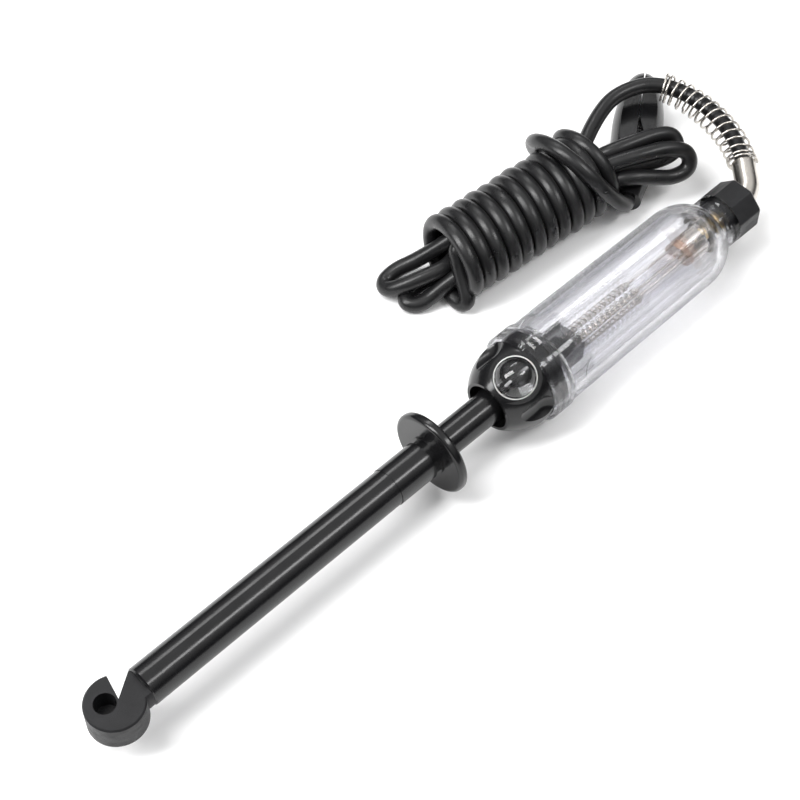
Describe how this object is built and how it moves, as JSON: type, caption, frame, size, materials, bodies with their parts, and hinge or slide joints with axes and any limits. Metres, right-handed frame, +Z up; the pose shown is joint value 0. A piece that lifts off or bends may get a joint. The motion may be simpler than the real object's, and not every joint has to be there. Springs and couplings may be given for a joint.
{
  "type": "circuit test light",
  "caption": "Hook-type automotive circuit test light: sliding insulated hook sleeve, clear fluted handle with a lamp in its nose, coiled earth lead and insulated crocodile clip.",
  "frame": {"origin": "on the table, under the middle of the tool's length from the hook's front to the rear cap's back", "axes": "+X along the tool from the hook to the handle, +Z up; the lead and clip lie on the +Y side"},
  "size_m": [0.2205, 0.0608, 0.0239],
  "materials": {
    "black_matte": "matte moulded",
    "black_gloss": "glossy moulded",
    "white_plastic": "matte",
    "steel": "bright",
    "nickel": "satin nickel plate",
    "brass": "satin",
    "copper": "dull copper plate",
    "lamp_clear": "clear epoxy",
    "clear_plastic": "clear moulded",
    "resistor_body": "lacquered",
    "black_rubber": "satin",
    "cord_pvc": "satin PVC"
  },
  "bodies": {
    "handle": {"nose_collar": "black_gloss", "led_lamp": "lamp_clear", "lamp_leads": "steel", "lamp_carrier": "black_matte", "series_resistor": "resistor_body", "probe_needle": "steel", "clear_handle": "clear_plastic", "contact_spring_left": "nickel", "contact_spring_right": "nickel", "contact_rods": "nickel", "contact_plate": "copper", "knurled_nut": "nickel", "cord_terminal": "brass", "seal_ring": "black_rubber", "rear_cap": "black_matte", "strain_relief_ferrule": "nickel", "strain_relief_spring": "nickel", "cord_lead": "cord_pvc", "cord_hank": "cord_pvc", "cord_tail": "cord_pvc", "clip_jaw_fixed": "steel", "clip_pivot_pin": "steel", "clip_spring": "steel", "clip_cover_fixed": "black_rubber"},
    "hook_sleeve": {"hook_head": "black_matte", "probe_tube": "black_gloss", "needle_guide": "white_plastic", "finger_flange": "black_gloss", "stop_ring": "steel", "return_spring": "steel"},
    "clip_jaw": {"clip_jaw_moving": "steel", "clip_cover_moving": "black_rubber"}
  },
  "joints": [
    {"name": "sleeve_slide", "type": "slide", "parent": "handle", "child": "hook_sleeve", "axis": [1, 0, 0], "range_m": [0, 0.0085], "stiffness_N_per_m": 300, "springref_m": -0.006, "deforming": ["return_spring"]},
    {"name": "clip_open", "type": "hinge", "parent": "handle", "child": "clip_jaw", "pos_m": [0.1055, 0.0372, 0.0047], "axis": [0, 0, -1], "range_deg": [0, 15], "stiffness_Nm_per_rad": 0.12, "springref_deg": -17.19}
  ]
}
